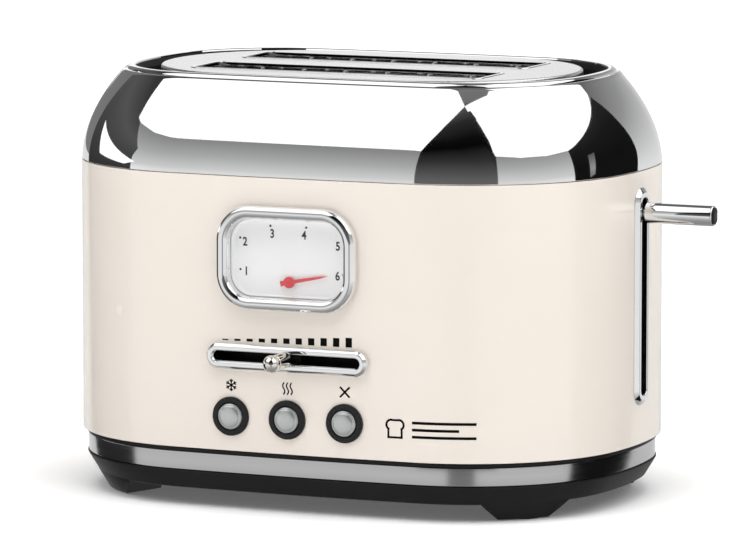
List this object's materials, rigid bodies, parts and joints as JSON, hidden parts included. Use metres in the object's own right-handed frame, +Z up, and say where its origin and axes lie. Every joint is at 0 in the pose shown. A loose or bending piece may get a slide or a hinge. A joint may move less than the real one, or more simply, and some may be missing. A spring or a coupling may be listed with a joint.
{
  "type": "pop up toaster",
  "caption": "Two-slot pop up toaster with domed chrome top, painted shell, dial gauge, browning slider, push buttons and side lever.",
  "frame": {"origin": "centre of the bounding box's bottom face, on the surface that the feet stand on", "axes": "+Z up, front with the gauge and buttons towards -Y, lever end towards +X"},
  "size_m": [0.3158, 0.2214, 0.2027],
  "materials": {
    "cream_paint": "gloss",
    "chrome": "mirror",
    "brushed_steel": "satin",
    "plain_steel": "plain",
    "black_steel": "matt",
    "polished_band": "polished",
    "black_plastic": "satin",
    "rubber_pad": "matt",
    "mica_board": "plain",
    "heating_ribbon": "plain",
    "copper_winding": "plain",
    "dial_plastic": "matt",
    "clear_glass": "clear",
    "red_plastic": "gloss",
    "circuit_board": "plain",
    "satin_cap": "satin"
  },
  "bodies": {
    "housing": {"outer_shell": "cream_paint", "top_cap": "chrome", "top_plate": "brushed_steel", "deck_plate": "black_steel", "base": "black_plastic", "base_band": "polished_band", "chassis_floor": "plain_steel", "end_plate_left": "plain_steel", "end_plate_right": "plain_steel", "baffle_front": "plain_steel", "baffle_back": "plain_steel", "electromagnet": "copper_winding", "carriage_guide_rod": "plain_steel", "lever_trim": "chrome", "lever_guide": "black_plastic", "gauge_bezel": "chrome", "gauge_housing": "black_plastic", "gauge_dial": "dial_plastic", "gauge_lens": "clear_glass", "gauge_motor": "plain_steel", "slider_trim": "chrome", "slider_housing": "black_plastic", "control_board": "circuit_board", "cord_gland": "black_plastic", "foot_pad_1": "rubber_pad", "foot_pad_2": "rubber_pad", "foot_pad_3": "rubber_pad", "foot_pad_4": "rubber_pad", "heater_board_front": "mica_board", "heater_winding_front": "heating_ribbon", "heater_board_middle": "mica_board", "heater_winding_middle": "heating_ribbon", "heater_board_back": "mica_board", "heater_winding_back": "heating_ribbon", "button_ring_1": "black_plastic", "button_switch_1": "black_plastic", "button_ring_2": "black_plastic", "button_switch_2": "black_plastic", "button_ring_3": "black_plastic", "button_switch_3": "black_plastic"},
    "lever_carriage": {"lever_rod": "chrome", "lever_block": "black_plastic", "carriage_plate": "plain_steel", "bread_lift_front": "plain_steel", "bread_lift_back": "plain_steel", "armature": "plain_steel", "return_spring": "plain_steel"},
    "browning_slider": {"slider_knob": "chrome", "slider_carrier": "black_plastic"},
    "needle": {"gauge_needle": "red_plastic", "gauge_spindle": "plain_steel"},
    "tray": {"crumb_tray": "plain_steel"},
    "button_1": {"button_cap_1": "satin_cap"},
    "button_2": {"button_cap_2": "satin_cap"},
    "button_3": {"button_cap_3": "satin_cap"},
    "bread_guide_front_outer": {"bread_guide_front_outer": "plain_steel"},
    "bread_guide_front_inner": {"bread_guide_front_inner": "plain_steel"},
    "bread_guide_back_outer": {"bread_guide_back_outer": "plain_steel"},
    "bread_guide_back_inner": {"bread_guide_back_inner": "plain_steel"}
  },
  "joints": [
    {"name": "lever_slide", "type": "slide", "parent": "housing", "child": "lever_carriage", "axis": [0, 0, -1], "range_m": [0, 0.08], "stiffness_N_per_m": 60, "springref_m": -0.05, "deforming": ["return_spring"]},
    {"name": "browning_slide", "type": "slide", "parent": "housing", "child": "browning_slider", "axis": [1, 0, 0], "range_m": [-0.031, 0.031]},
    {"name": "needle_swing", "type": "hinge", "parent": "housing", "child": "needle", "pos_m": [-0.0169, -0.089, 0.1091], "axis": [0, -1, 0], "range_deg": [0, 158]},
    {"name": "crumb_tray_slide", "type": "slide", "parent": "housing", "child": "tray", "axis": [0, 1, 0], "range_m": [0, 0.15]},
    {"name": "defrost_button_press", "type": "slide", "parent": "housing", "child": "button_1", "axis": [0, 1, 0], "range_m": [0, 0.0025], "stiffness_N_per_m": 400, "springref_m": -0.002},
    {"name": "reheat_button_press", "type": "slide", "parent": "housing", "child": "button_2", "axis": [0, 1, 0], "range_m": [0, 0.0025], "stiffness_N_per_m": 400, "springref_m": -0.002},
    {"name": "cancel_button_press", "type": "slide", "parent": "housing", "child": "button_3", "axis": [0, 1, 0], "range_m": [0, 0.0025], "stiffness_N_per_m": 400, "springref_m": -0.002},
    {"name": "bread_guide_front_outer_lean", "type": "hinge", "parent": "housing", "child": "bread_guide_front_outer", "pos_m": [-0.0169, -0.03575, 0.066], "axis": [-1, 0, 0], "range_deg": [0, 4]},
    {"name": "bread_guide_front_inner_lean", "type": "hinge", "parent": "housing", "child": "bread_guide_front_inner", "pos_m": [-0.0169, -0.00655, 0.066], "axis": [1, 0, 0], "range_deg": [0, 4]},
    {"name": "bread_guide_back_outer_lean", "type": "hinge", "parent": "housing", "child": "bread_guide_back_outer", "pos_m": [-0.0169, 0.05045, 0.066], "axis": [1, 0, 0], "range_deg": [0, 4]},
    {"name": "bread_guide_back_inner_lean", "type": "hinge", "parent": "housing", "child": "bread_guide_back_inner", "pos_m": [-0.0169, 0.02125, 0.066], "axis": [-1, 0, 0], "range_deg": [0, 4]}
  ],
  "couplings": [
    {"joint": "bread_guide_front_outer_lean", "follows": "lever_slide", "rad_per_m": 0.8726},
    {"joint": "bread_guide_front_inner_lean", "follows": "lever_slide", "rad_per_m": 0.8726},
    {"joint": "bread_guide_back_outer_lean", "follows": "lever_slide", "rad_per_m": 0.8726},
    {"joint": "bread_guide_back_inner_lean", "follows": "lever_slide", "rad_per_m": 0.8726}
  ]
}
